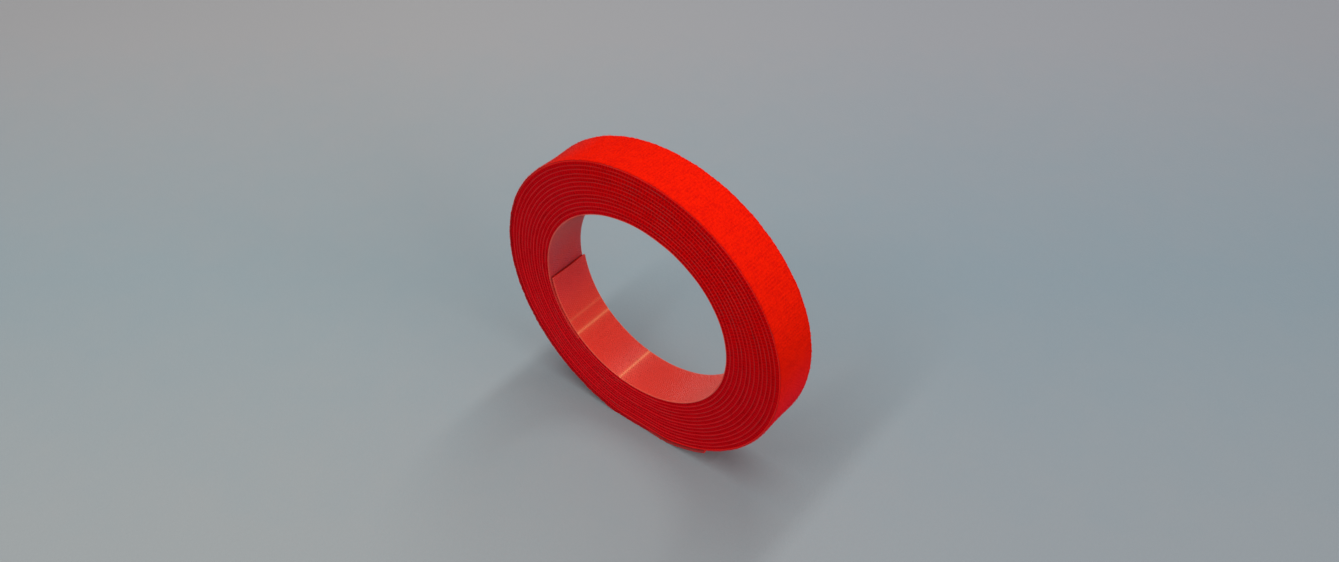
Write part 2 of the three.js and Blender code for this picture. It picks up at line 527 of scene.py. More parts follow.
@dataclass
class Shape:
    """Points, faces and the numbers that the points carry, before they become a mesh."""

    points: Array
    faces: list[Array]
    numbers: dict[str, Array]

    @staticmethod
    def joined(shapes: list["Shape"]) -> "Shape":
        """Puts shapes together, with the numbers of each shape's faces moved on.

        Args:
            shapes: the shapes, in order.

        Returns:
            One shape.
        """
        counts = [len(shape.points) for shape in shapes]
        starts = np.concatenate([[0], np.cumsum(counts)[:-1]]).astype(int)
        names = sorted({name for shape in shapes for name in shape.numbers})
        blank = [np.zeros(count) for count in counts]
        numbers = {
            name: np.concatenate([shape.numbers.get(name, empty) for shape, empty in zip(shapes, blank)])
            for name in names
        }
        faces = [face + start for shape, start in zip(shapes, starts) for face in shape.faces]
        return Shape(np.concatenate([shape.points for shape in shapes]), faces, numbers)

    @staticmethod
    def repeated(points: Array, faces: tuple[Array, ...], numbers: dict[str, Array]) -> "Shape":
        """Many copies of one small solid, each with points of its own.

        Args:
            points: the points, in axes of copies, points and three.
            faces: the faces of one copy, grouped by their number of corners.
            numbers: what all the points of a copy carry, by name.

        Returns:
            One shape.
        """
        count, each = points.shape[:2]
        starts = (each * np.arange(count))[:, None, None]
        moved = [(one[None] + starts).reshape(-1, one.shape[1]) for one in faces]
        carried = {name: np.repeat(values, each) for name, values in numbers.items()}
        return Shape(points.reshape(-1, 3), moved, carried)

    def piece(self, name: str, coat: Coat) -> Object:
        """Makes the mesh object, smooth but for its sharp edges.

        Args:
            name: the piece's name.
            coat: the coat whose material it takes.

        Returns:
            The object, at the origin.
        """
        mesh = bpy.data.meshes.new(name)
        corners = np.concatenate([face.ravel() for face in self.faces])
        sizes = np.concatenate([np.full(len(face), face.shape[1]) for face in self.faces])
        starts = np.concatenate([[0], np.cumsum(sizes)[:-1]])
        mesh.vertices.add(len(self.points))
        mesh.vertices.foreach_set("co", self.points.astype(np.float32).ravel())
        mesh.loops.add(len(corners))
        mesh.loops.foreach_set("vertex_index", corners.astype(np.int32))
        mesh.polygons.add(len(sizes))
        mesh.polygons.foreach_set("loop_start", starts.astype(np.int32))
        mesh.update(calc_edges=True)
        mesh.shade_smooth()
        mesh.set_sharp_from_angle(angle=math.radians(SHARP_ANGLE))
        for label, values in self.numbers.items():
            carried = mesh.attributes.new(label, "FLOAT", "POINT")
            carried.data.foreach_set("value", values.astype(np.float32))
        mesh.materials.append(coat.material)
        made = bpy.data.objects.new(name, mesh)
        bpy.context.scene.collection.objects.link(made)
        return made


def swell(seed: int, waves: int, shortest: float, longest: float) -> Wave:
    """A smooth random relief: a sum of sine waves of random length and direction, with a spread of about 1.

    Args:
        seed: the seed of the random numbers.
        waves: how many waves are summed.
        shortest: the shortest wave, in mm.
        longest: the longest wave, in mm.

    Returns:
        A function of the places along and across the tape, in mm.
    """
    draw = np.random.default_rng(seed)
    length = np.exp(draw.uniform(math.log(shortest), math.log(longest), waves))
    heading = draw.uniform(0.0, math.pi, waves)
    phase = draw.uniform(0.0, math.tau, waves)
    ahead = math.tau * np.cos(heading) / length
    aside = math.tau * np.sin(heading) / length

    def relief(along: Array, across: Array) -> Array:
        """The relief at places on the tape."""
        total = sum(np.sin(a * along + b * across + start) for a, b, start in zip(ahead, aside, phase))
        return total * math.sqrt(2.0 / waves)

    return relief


@dataclass(frozen=True)
class Tape:
    """The flat tape: its width and the thickness of its layers, in mm, from the bore side outwards."""

    width: float = 16.0
    film: float = 0.26
    bond: float = 0.07
    cloth: float = 0.45
    engaged: float = 0.57

    @property
    def thickness(self) -> float:
        """The three layers together."""
        return self.film + self.bond + self.cloth

    @property
    def pitch(self) -> float:
        """The step from one turn to the next."""
        return self.thickness + self.engaged

    def rows(self, bare: float, pitch: float) -> Array:
        """Places across the tape at an even pitch, with at least a bare width left over."""
        count = int((self.width - bare) / pitch)
        return (np.arange(count + 1) - count / 2.0) * pitch


@dataclass
class Winding:
    """The path of the tape, from the cut end in the bore to the cut end on the rim.

    Sizes are in mm and degrees. Each sway is a depth, a pace and a start.
    """

    tape: Tape
    bore: float = 34.2
    turns: int = 14
    inner_end: float = 188.75
    outer_end: float = 300.5
    oval_inner: float = 0.74
    oval_outer: float = 0.75
    oval_lean: float = 17.0
    shift_x: float = -1.46
    shift_z: float = -0.62
    ground_angle: float = 270.0
    ground_depth: float = 1.1
    hug_angle: float = 24.0
    hug_depth: float = 0.35
    axis_x: float = 0.3815
    axis_z: float = 52.3384
    cup_bore: float = 0.06
    cup_rim: float = 0.27
    cup_clear: float = 17.0
    crease_places: tuple[float, ...] = (26.5, 34.3, 67.2)
    crease_marks: tuple[float, ...] = (0.26, 0.8, 1.0)
    crease_depth: float = 0.02
    crease_width: float = 0.42
    crease_line: float = 0.72
    crease_haze: float = 0.28
    crease_spread: float = 2.6
    crease_reach: float = 3.6
    crease_stations: int = 25
    least_slope: float = 0.1
    sways: tuple[Point, ...] = ((0.08, 0.61, 20.0), (0.05, 0.237, 80.0))
    table_margin: float = 4.0
    table_step: float = 0.5
    table: Pair = field(init=False)

    def __post_init__(self) -> None:
        """Adds up the tape's length over the winding."""
        end = self.span + self.table_margin + self.table_step
        winding = np.arange(-self.table_margin, end, self.table_step)
        middle = np.radians(np.diff(winding)) * (self.radius(winding[1:]) + self.tape.thickness / 2.0)
        length = np.concatenate([[0.0], np.cumsum(middle)])
        self.table = (winding, length - np.interp(0.0, winding, length))

    @property
    def span(self) -> float:
        """The whole winding angle."""
        return self.turns * FULL_TURN + self.outer_end - self.inner_end

    def length_at(self, winding: Array) -> Array:
        """Length of tape from the end in the bore, in mm."""
        return np.interp(winding, *self.table)

    def winding_at(self, length: Array) -> Array:
        """The winding at a length of tape."""
        return np.interp(length, self.table[1], self.table[0])

    def angle_of(self, length: float, winding: float) -> float:
        """The winding angle that a length of tape takes up at a place on the winding."""
        return math.degrees(length / float(self.radius(np.array(winding))))

    def loose(self, winding: Array) -> Array:
        """Radius of the film's bore face in air: a spiral with an oval, and a shift that fades outwards.

        The last stretch is pressed into the pile under it.

        Args:
            winding: the winding, in degrees.

        Returns:
            The radius, in mm.
        """
        angle = np.radians(self.inner_end + winding)
        share = winding / self.span
        lean = np.radians(self.oval_lean * (1.0 - share))
        oval = (self.oval_inner + (self.oval_outer - self.oval_inner) * share) * np.cos(2.0 * (angle - lean))
        shift = (1.0 - share) * (self.shift_x * np.cos(angle) + self.shift_z * np.sin(angle))
        last = np.clip((winding - self.span) / self.hug_angle + 1.0, 0.0, 1.0)
        hug = self.hug_depth * last**2 * (3.0 - 2.0 * last)
        return self.bore + self.tape.pitch * winding / FULL_TURN + oval + shift - hug

    def ground(self) -> float:
        """Distance from the axis to the ground."""
        back = (self.outer_end - self.ground_angle) % FULL_TURN
        return float(self.loose(self.span - back) + self.tape.thickness - self.ground_depth)

    def radius(self, winding: Array) -> Array:
        """Radius of the film's bore face. The ground presses the rim flat, and each turn in it a little less.

        Args:
            winding: the winding, in degrees.

        Returns:
            The radius, in mm.
        """
        over = np.maximum(np.floor((self.span - winding) / FULL_TURN), 0.0)
        slope = np.cos(np.radians(self.inner_end + winding - self.ground_angle))
        rim = self.loose(winding + over * FULL_TURN) + self.tape.thickness
        low = slope > self.least_slope
        beyond = np.maximum(0.0, rim - self.ground() / np.where(low, slope, self.least_slope))
        return self.loose(winding) - np.where(low, beyond, 0.0) * (1.0 - over / self.turns)

    def crease(self, winding: Array) -> Array:
        """How much the film whitens, from 0 to 1: a sharp line and a soft haze at each crease.

        Args:
            winding: the winding, in degrees.

        Returns:
            The whitening.
        """
        winding = np.asarray(winding, float)
        lines = []
        for place, mark in zip(self.crease_places, self.crease_marks):
            away = (winding - place) * math.radians(self.bore) / self.crease_width
            haze = self.crease_haze * np.exp(-np.abs(away) / self.crease_spread)
            lines.append(mark * (self.crease_line * np.exp(-(away**2)) + haze))
        return np.max(lines, axis=0)

    def kink(self, winding: Array) -> Array:
        """How far the tape is pushed out at each crease, in mm."""
        return self.crease_depth * self.crease(winding) ** 2

    def depth(self, winding: Array) -> Array:
        """The step from a place to the next turn over it, in mm, less what a crease takes."""
        return self.radius(winding + FULL_TURN) - self.radius(winding) - self.kink(winding)

    def cup(self, winding: Array, across: Array) -> Array:
        """How far the tape curls outwards, by the square of the distance across, if clear of the ground.

        Args:
            winding: the winding, in degrees.
            across: the distance across, in mm.

        Returns:
            The extra height.
        """
        share = np.clip(winding / self.span, 0.0, 1.0)
        curl = self.cup_bore + (self.cup_rim - self.cup_bore) * share**4
        half = FULL_TURN / 2.0
        away = (self.inner_end + winding - self.ground_angle + half) % FULL_TURN - half
        free = 1.0 - np.exp(-((away / self.cup_clear) ** 2))
        return curl * free * (2.0 * across / self.tape.width) ** 2

    def sway(self, winding: Array) -> Array:
        """The slow side shift of the turns, in mm: two long waves."""
        return sum(depth * np.sin(np.radians(winding * pace + start)) for depth, pace, start in self.sways)

    def wrap(self, winding: Array, across: Array, height: Array) -> Array:
        """Carries places on the tape into the shared frame, each along a radius, and none under the ground.

        Args:
            winding: the winding, in degrees.
            across: the distance across, in mm.
            height: the height above the film's bore face, in mm.

        Returns:
            Points in metres, in a last axis of three.
        """
        angle = np.radians(self.inner_end + winding)
        radius = self.radius(winding) + height + self.cup(winding, across) + self.kink(winding)
        x = self.axis_x + radius * np.cos(angle)
        z = np.maximum(self.axis_z + radius * np.sin(angle), 0.0)
        y = across + self.sway(winding)
        return np.stack(np.broadcast_arrays(x, y, z), axis=-1) * MM

    def ahead(self, winding: Array, distance: Array) -> Array:
        """The winding a short distance further along the tape, in mm."""
        return winding + np.degrees(distance / self.radius(winding))

    def stations(self, start: float, end: float, step: float) -> Array:
        """Windings from start to end at an even step, closer together at the creases.

        Args:
            start: the first winding.
            end: the last winding.
            step: the step, in degrees.

        Returns:
            The windings, in order.
        """
        even = np.linspace(start, end, max(2, math.ceil((end - start) / step) + 1))
        near = np.linspace(-self.crease_reach, self.crease_reach, self.crease_stations)
        fine = np.concatenate([place + near for place in self.crease_places])
        apart = 0.1
        inside = fine[(fine > start + apart) & (fine < end - apart)]
        return np.unique(np.round(np.concatenate([even, inside]), 4))


@dataclass(frozen=True)
class Hooks:
    """Moulded hooks: a short stem and a head that droops both ways along the tape. Sizes are in mm."""

    path: Winding
    height: float = 0.27
    foot: float = 0.10
    neck: float = 0.05
    head: float = 0.15
    crown: float = 0.075
    root: float = 0.03
    neck_share: float = 0.68
    head_share: float = 0.55
    thickness: float = 0.13
    pitch_along: float = 0.80
    pitch_across: float = 0.75
    bare_width: float = 0.7
    sizes: Span = (0.88, 1.08)
    lean: float = 0.05
    tints: Span = (0.3, 1.0)
    whitening: float = 0.6

    def outline(self) -> Array:
        """The hook's side view, anticlockwise from the foot.

        Returns:
            Eight corners, as (along, rise).
        """
        rise = self.height
        stem = [(self.foot, -self.root), (self.neck, self.neck_share * rise)]
        right = stem + [(self.head, self.head_share * rise), (self.crown, rise)]
        left = [(-along, up) for along, up in right[::-1]]
        return np.array(right + left)

    def field(self, winding: Array, across: Array, seed: int) -> Shape:
        """A hook at each place: the outline drawn across its thickness and wrapped on the film's bore face.

        Args:
            winding: where the hooks stand, in degrees.
            across: where they stand across the tape, in mm.
            seed: the seed of their small differences.

        Returns:
            All the hooks.
        """
        draw = np.random.default_rng(seed)
        count = len(winding)
        outline = self.outline()
        corners = len(outline)
        size = draw.uniform(*self.sizes, (count, 1))
        lean = draw.normal(0.0, self.lean, (count, 1))
        along = np.tile(outline[:, 0], 2)[None, :] * size
        rise = np.tile(outline[:, 1], 2)[None, :] * size
        aside = np.repeat([-0.5, 0.5], corners)[None, :] * self.thickness
        place = self.path.ahead(winding[:, None], along + lean * rise)
        points = self.path.wrap(place, across[:, None] + aside, -rise)
        first = np.arange(corners)
        second = np.roll(first, -1)
        sides = np.stack([first, first + corners, second + corners, second], 1)
        near = np.array([[7, 0, 1], [7, 1, 6], [6, 1, 3], [6, 3, 4], [1, 2, 3], [6, 4, 5]])
        numbers = {
            "along": self.path.length_at(winding),
            "across": across,
            "crease": self.whitening * self.path.crease(winding),
            "tint": draw.uniform(*self.tints, count),
        }
        return Shape.repeated(points, (sides, near, near[:, ::-1] + corners), numbers)

    def lattice(self, start: float, end: float) -> Pair:
        """Places of the hooks between two windings: rows along the tape, each second row half a step on.

        Args:
            start: the first winding.
            end: the last winding.

        Returns:
            The windings and the distances across.
        """
        first, last = self.path.length_at(np.array([start, end]))
        limit = last - 0.2 * self.pitch_along
        along = np.arange(first + 0.4 * self.pitch_along, limit, self.pitch_along)
        across = self.path.tape.rows(self.bare_width, self.pitch_across)
        stagger = 0.5 * self.pitch_along * (np.arange(len(across)) % 2)
        places = np.minimum(along[:, None] + stagger[None, :], limit)
        return self.path.winding_at(places.ravel()), np.tile(across, len(along))


@dataclass(frozen=True)
class Nap:
    """The cloth's relief and the pile of loops that stands on it. Sizes are in mm."""

    path: Winding
    backing: float = 0.62
    course: float = 1.12
    course_height: float = 0.02
    course_drift: float = 0.6
    soft_height: float = 0.022
    fine_height: float = 0.02
    loop_height: float = 0.24
    loop_width: float = 0.34
    loop_root: float = 0.05
    loop_knots: int = 5
    yarn: float = 0.034
    widths: Span = (0.75, 1.25)
    heights: Span = (0.6, 1.15)
    tints: Span = (0.25, 1.0)
    lean: float = 0.10
    pitch_along: float = 0.5
    pitch_across: float = 0.84
    jitter: Span = (0.14, 0.20)
    start_gap: float = 0.2
    end_gap: float = 0.15
    side_gap: float = 0.08
    bare_width: float = 0.3
    hem_pitch: float = 0.9
    hem_jitter: float = 0.15
    hem_band: Span = (0.15, 0.7)

    def crown(self, along: Array, across: Array) -> Array:
        """Height of the cloth's outer face: courses across the tape, plus a soft random swell.

        Args:
            along: places along the tape, in mm.
            across: places across it, in mm.

        Returns:
            The height above the film's bore face, in mm.
        """
        soft = swell(Seed.SOFT_CROWN, 12, 1.6, 14.0)(along, across)
        fine = swell(Seed.FINE_CROWN, 10, 0.7, 1.5)(along, across)
        wave = np.sin(math.tau * along / self.course + self.course_drift * soft)
        return self.backing + self.course_height * wave + self.soft_height * soft + self.fine_height * fine

    def loops(self, winding: Array, across: Array, seed: int) -> Shape:
        """A loop of yarn at each place: a three-sided tube along half a sine wave, turned at random.

        Args:
            winding: where the loops stand, in degrees.
            across: where they stand across the tape, in mm.
            seed: the seed of their differences.

        Returns:
            All the loops.
        """
        draw = np.random.default_rng(seed)
        count = len(winding)
        share = np.linspace(0.0, 1.0, self.loop_knots)
        reach = (draw.uniform(*self.widths, (count, 1)) * self.loop_width) * (share[None, :] - 0.5)
        tall = draw.uniform(*self.heights, (count, 1)) * self.loop_height
        arch = np.sin(math.pi * share)[None, :]
        rise = -self.loop_root + (tall + self.loop_root) * arch
        slope = math.pi * (tall + self.loop_root) * np.cos(math.pi * share)[None, :]
        steep = np.sqrt(slope**2 + self.loop_width**2)
        spin = np.radians([90.0, 210.0, 330.0])
        inward = self.yarn * np.sin(spin)
        beside = self.yarn * np.cos(spin)
        forth = reach[:, :, None] - inward * (slope / steep)[:, :, None]
        up = rise[:, :, None] + inward * (self.loop_width / steep)[:, :, None]
        heading = draw.uniform(0.0, math.pi, (count, 1, 1))
        lean = draw.normal(0.0, self.lean, (count, 2, 1, 1)) * arch[:, :, None]
        along = forth * np.cos(heading) - beside * np.sin(heading) + lean[:, 0]
        aside = forth * np.sin(heading) + beside * np.cos(heading) + lean[:, 1]
        base = self.crown(self.path.length_at(winding), across)[:, None, None]
        place = self.path.ahead(winding[:, None, None], along)
        points = self.path.wrap(place, across[:, None, None] + aside, base + up).reshape(count, -1, 3)
        ring = np.arange(self.loop_knots * len(spin)).reshape(self.loop_knots, len(spin))
        after = np.roll(ring, -1, axis=1)
        sides = np.stack([ring[:-1], ring[1:], after[1:], after[:-1]], axis=-1).reshape(-1, 4)
        tints = draw.uniform(*self.tints, count)
        numbers = {"along": self.path.length_at(winding), "across": across, "tint": tints}
        return Shape.repeated(points, (sides, ring[:1], ring[-1:, ::-1]), numbers)

    def scatter(self, start: float, end: float, seed: int) -> Pair:
        """Places of the loops between two windings: two along each course, jittered.

        Args:
            start: the first winding.
            end: the last winding.
            seed: the seed of the jitter.

        Returns:
            The windings and the distances across.
        """
        draw = np.random.default_rng(seed)
        first, last = self.path.length_at(np.array([start, end]))
        along = np.arange(first + self.start_gap, last - self.end_gap, self.pitch_along)
        across = self.path.tape.rows(self.bare_width, self.pitch_across)
        size = (len(along), len(across))
        places = along[:, None] + draw.normal(0.0, self.jitter[0], size)
        aside = across[None, :] + draw.normal(0.0, self.jitter[1], size)
        half = self.path.tape.width / 2.0 - self.side_gap
        places = np.clip(places, first + self.end_gap, last - self.end_gap)
        return self.path.winding_at(places.ravel()), np.clip(aside, -half, half).ravel()

    def hem(self, start: float, end: float, side: Side, seed: int) -> Pair:
        """Places of the loops along one edge of the tape.

        Args:
            start: the first winding.
            end: the last winding.
            side: the edge.
            seed: the seed of the jitter.

        Returns:
            The windings and the distances across.
        """
        draw = np.random.default_rng(seed)
        first, last = self.path.length_at(np.array([start, end]))
        along = np.arange(first + self.start_gap, last - self.start_gap, self.hem_pitch)
        along = along + draw.normal(0.0, self.hem_jitter, len(along))
        across = side.value * (self.path.tape.width / 2.0 - draw.uniform(*self.hem_band, len(along)))
        return self.path.winding_at(along), across


@dataclass(frozen=True)
class Trim:
    """A layer's long edges, in mm: how far out they lie, how round they are, and what band moves how far."""

    half: float
    rounding: float
    band: float
    depth: float


@dataclass(frozen=True)
class Layer:
    """A layer of the tape between two heights, in mm.

    A wave moves its long edges in and out, and a lift moves its outer face up or down.
    """

    path: Winding
    bottom: float
    top: float
    trim: Trim
    wave: Wave
    columns: int
    lift: Wave | None = None

    def section(self) -> Array:
        """The layer's outline with rounded edges: outer face, back edge, bore face, front edge.

        Returns:
            Points as (across, height), in order round the outline.
        """
        rounding = self.trim.rounding
        flat = self.trim.half - rounding
        face = np.linspace(-1.0, 1.0, self.columns) * flat
        turn = np.radians([30.0, 60.0, 90.0])
        out = flat + rounding * np.sin(turn)
        rise = self.top - rounding + rounding * np.cos(turn)
        fall = self.bottom + rounding - rounding * np.cos(turn)
        back = np.concatenate([np.stack([out, rise], 1), np.stack([out, fall], 1)[::-1]])
        front = np.stack([-back[::-1, 0], back[::-1, 1]], 1)
        outer = np.stack([face, np.full(self.columns, self.top)], 1)
        bore = np.stack([face[::-1], np.full(self.columns, self.bottom)], 1)
        return np.concatenate([outer, back, bore, front])

    def strip(self, windings: Array) -> Shape:
        """A closed strip: the section carried along the winding, with a flat end at each cut.

        Args:
            windings: the stations along it.

        Returns:
            The strip.
        """
        section = self.section()
        rows, corners = len(windings), len(section)
        winding = np.repeat(windings[:, None], corners, 1)
        along = self.path.length_at(winding)
        flat = np.repeat(section[None, :, 0], rows, 0)
        height = np.repeat(section[None, :, 1], rows, 0)
        if self.lift is not None:
            part = np.clip((height - self.bottom) / (self.top - self.bottom), 0.0, 1.0)
            height = height + part * self.lift(along, flat)
        edge = np.abs(flat) > self.trim.half - self.trim.band
        across = flat + self.trim.depth * edge * self.wave(along, flat)
        points = self.path.wrap(winding, across, height).reshape(-1, 3)
        grid = np.arange(rows * corners).reshape(rows, corners)
        after = np.roll(grid, -1, axis=1)
        sides = np.stack([grid[:-1], after[:-1], after[1:], grid[1:]], axis=-1).reshape(-1, 4)
        crease = self.path.crease(winding)
        numbers = {"along": along.ravel(), "across": across.ravel(), "crease": crease.ravel()}
        return Shape(points, [sides, grid[:1, ::-1], grid[-1:]], numbers)


@dataclass
class Laminate:
    """The tape's layers: the film, the adhesive, the cloth, and the pile pressed between two turns.

    Sizes are in mm.
    """

    path: Winding
    overlap: float = 0.01
    sunk: float = 0.08
    clear: float = 0.03
    moulded: Trim = Trim(half=7.96, rounding=0.08, band=0.1, depth=0.03)
    squeezed: Trim = Trim(half=7.9, rounding=0.03, band=0.1, depth=0.05)
    knitted: Trim = Trim(half=7.95, rounding=0.12, band=0.2, depth=0.045)
    brushed: Trim = Trim(half=7.84, rounding=0.14, band=0.25, depth=0.05)
    hooks: Hooks = field(init=False)
    nap: Nap = field(init=False)
    film: Layer = field(init=False)
    bond: Layer = field(init=False)
    cloth: Layer = field(init=False)
    wound_cloth: Layer = field(init=False)
    pile: Layer = field(init=False)

    def __post_init__(self) -> None:
        """Sets the hooks, the nap and the layers, each layer with a trim and a wavy edge of its own."""
        path = self.path
        self.hooks = Hooks(path)
        self.nap = Nap(path)
        film, backing = path.tape.film, self.nap.backing
        face = film + path.tape.bond
        wavy = swell(Seed.FILM_EDGE, 8, 6.0, 60.0)
        uneven = swell(Seed.BOND_EDGE, 10, 2.0, 20.0)
        lumpy = swell(Seed.CLOTH_EDGE, 14, 0.9, 9.0)
        tufted = swell(Seed.PILE_EDGE, 14, 0.8, 5.0)
        glued = (film - self.overlap, face + self.overlap)
        pressed = (backing - self.sunk, path.tape.pitch - self.clear)
        self.film = Layer(path, 0.0, film, self.moulded, wavy, columns=7)
        self.bond = Layer(path, *glued, self.squeezed, uneven, columns=4)
        self.cloth = Layer(path, face, backing, self.knitted, lumpy, columns=17, lift=self._knit)
        self.wound_cloth = replace(self.cloth, columns=5)
        self.pile = Layer(path, *pressed, self.brushed, tufted, columns=4, lift=self._press)

    def _knit(self, along: Array, across: Array) -> Array:
        """How far the courses of the knit raise the cloth's outer face."""
        return self.nap.crown(along, across) - self.nap.backing

    def _press(self, along: Array, _across: Array) -> Array:
        """How far the pile's outer face moves where the turns are pressed together, the same all across."""
        return self.path.depth(self.path.winding_at(along)) - self.path.tape.pitch


@dataclass(frozen=True)
class Coats:
    """The coats of the three layers, and of the film between turns."""

    film: Coat
    edge: Coat
    bond: Coat
    cloth: Coat


@dataclass
class WoundCoil:
    """The coil between the two free ends, which stays still while they move. Windings are in degrees.

    The turn in the bore ends where its film goes under the next one.
    """

    tape: Laminate
    coats: Coats
    start: float
    end: float
    bore_end: float
    peel: float
    body: str = "coil"
    step: float = 3.0
    fine_step: float = 0.17
    rim_lap: float = 6.0
    gap: float = 1.0
    hook_gap: float = 0.5
    row_gap: float = 0.3
    edge_inset: float = 0.15
    hidden_part: int = 7

    @property
    def rim(self) -> float:
        """The winding where the cloth of the rim starts."""
        return self.tape.path.span - FULL_TURN - self.rim_lap

    def _add(self, name: str, shape: Shape, coat: Coat, node: str | None = None) -> None:
        """Makes a piece that rides on the coil.

        Args:
            name: the piece's name.
            shape: its shape.
            coat: the coat whose material it takes.
            node: the solid that it stands in for.
        """
        piece = report(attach(shape.piece(name, coat), self.body))
        if node is not None:
            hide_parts(node)

    def build(self) -> None:
        """Makes the wound layers, the hooks in the bore and along the edges, and the pile on the rim."""
        self._layers()
        self._hooks_and_hems()
        self._rim_pile()

    def _layers(self) -> None:
        """Makes the film, the adhesive, the cloth and the pile between turns."""
        path, tape, coats = self.tape.path, self.tape, self.coats
        windings = path.stations(self.start, self.end, self.step)
        bore = path.stations(self.start, self.bore_end, self.step)
        covered = path.stations(self.bore_end, self.end, self.step)
        inner = path.stations(self.start, self.rim, self.step)
        filled = path.stations(self.start + self.gap, self.peel - FULL_TURN - self.gap, self.step)
        outer = path.stations(self.rim, self.end, self.fine_step)
        self._add("film_wound", tape.film.strip(covered), coats.edge, "hook_film")
        self._add("film_bore", tape.film.strip(bore), coats.film)
        self._add("bond_wound", tape.bond.strip(windings), coats.bond, "lamination_bond")
        self._add("cloth_wound", tape.wound_cloth.strip(inner), coats.cloth, "loop_cloth")
        self._add("pile_meshed", tape.pile.strip(filled), coats.cloth)
        self._add("cloth_rim", tape.cloth.strip(outer), coats.cloth)

    def _hooks_and_hems(self) -> None:
        """Makes the hooks in the bore, and the hooks and loops that show along both edges of the turns."""
        path, hooks, nap = self.tape.path, self.tape.hooks, self.tape.nap
        begin = self.start + self.hook_gap
        bore = hooks.field(*hooks.lattice(begin, self.bore_end), seed=Seed.BORE_HOOKS)
        self._add("hooks_bore", bore, self.coats.film)
        first, last = path.length_at(np.array([self.bore_end, self.end - self.row_gap]))
        along = np.arange(first + self.hook_gap, last, hooks.pitch_along)
        for side in Side:
            name = side.name.lower()
            across = np.full(len(along), side.value * (path.tape.width / 2.0 - self.edge_inset))
            row = hooks.field(path.winding_at(along), across, seed=Seed.EDGE_HOOKS + side.value)
            self._add(f"hooks_edge_{name}", row, self.coats.edge)
            places = nap.hem(begin, self.rim, side, seed=Seed.HEM_PLACES + side.value)
            hem = nap.loops(*places, seed=Seed.HEM_LOOPS + side.value)
            self._add(f"pile_edge_{name}", hem, self.coats.cloth)

    def _rim_pile(self) -> None:
        """Makes the loops on the rim, in parts of a turn, and those hidden under the free end."""
        span = self.tape.path.span
        cuts = [span - FULL_TURN, span - FULL_TURN * 2.0 / 3.0, span - FULL_TURN / 3.0, self.end]
        parts = [(f"pile_rim_{k}", k, cuts[k - 1], cuts[k]) for k in range(1, len(cuts))]
        hidden = self.peel - FULL_TURN - 2.0 * self.gap
        parts.append(("pile_under_end", self.hidden_part, hidden, cuts[0]))
        for name, number, low, high in parts:
            places = self.tape.nap.scatter(low, high, seed=Seed.RIM_PLACES + number)
            loops = self.tape.nap.loops(*places, seed=Seed.RIM_LOOPS + number)
            self._add(name, loops, self.coats.cloth)


@dataclass
class FreeEnd:
    """A free end of the tape, in links one after the other. Windings and links are in degrees."""

    tape: Laminate
    coats: Coats
    name: str
    joints: tuple[str, ...]
    root: float
    link: float
    heading: int
    tip: float
    hinge_height: float
    lead: float = 0.46
    bend: Span = (-0.42, 0.5)
    step: float = 1.0
    fine_step: float = 0.25

    def spans(self) -> list[Span]:
        """The windings of each link's piece: from a little before its hinge to a little before the next.

        Returns:
            The first and the last winding of each piece.
        """
        made = []
        for number in range(len(self.joints)):
            hinge = self.root + self.heading * self.link * number
            start = hinge - self.heading * self.lead * self.link
            last = number + 1 == len(self.joints)
            end = self.tip if last else hinge + self.heading * (1.0 - self.lead) * self.link
            made.append((min(start, end), max(start, end)))
        return made

    def build(self) -> None:
        """Makes each link's film and hooks, its adhesive, and its cloth and pile."""
        path, hooks, nap = self.tape.path, self.tape.hooks, self.tape.nap
        found = {joint["name"]: joint for joint in frame["joints"]}
        for number, (low, high) in enumerate(self.spans(), 1):
            joint = found[self.joints[number - 1]]
            reach = self.root + self.heading * self.link * (number - 1 + np.array(self.bend))
            near, far = map(Vector, path.wrap(reach, np.zeros(2), np.full(2, self.hinge_height)))
            windings = path.stations(low, high, self.step)
            fine = path.stations(low, high, self.fine_step)
            rows = hooks.field(*hooks.lattice(low, high), seed=Seed.END_HOOKS + number)
            places = nap.scatter(low, high, seed=Seed.END_PLACES + number)
            pile = nap.loops(*places, seed=Seed.END_LOOPS + number)
            shapes = {
                Slot.FILM: Shape.joined([self.tape.film.strip(windings), rows]),
                Slot.BOND: self.tape.bond.strip(windings),
                Slot.CLOTH: Shape.joined([self.tape.cloth.strip(fine), pile]),
            }
            for slot, shape in shapes.items():
                layer = slot.value
                piece = shape.piece(f"{self.name}_{layer}_part_{number}", getattr(self.coats, layer))
                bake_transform(piece)
                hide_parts(f"{self.name}_{layer}_{number}")
                report(piece)


@dataclass(frozen=True)
class Lamp:
    """A soft rectangular lamp. Its place, sides and aim are in metres, its power in watts."""

    name: str
    place: Point
    sides: Span
    power: float
    cone: float = 180.0
    aim: Point = (0.0, 0.0, 0.05)

    def hang(self) -> None:
        """Hangs the lamp, out of the camera's sight."""
        data = bpy.data.lights.new(self.name, "AREA")
        data.shape = "RECTANGLE"
        data.size, data.size_y = self.sides
        data.energy = self.power
        data.spread = math.radians(self.cone)
        seat = bpy.data.objects.new(self.name, data)
        seat.location = self.place
        seat.rotation_mode = "QUATERNION"
        seat.rotation_quaternion = (Vector(self.aim) - Vector(self.place)).to_track_quat("-Z", "Y")
        seat.visible_camera = False
        bpy.context.scene.collection.objects.link(seat)


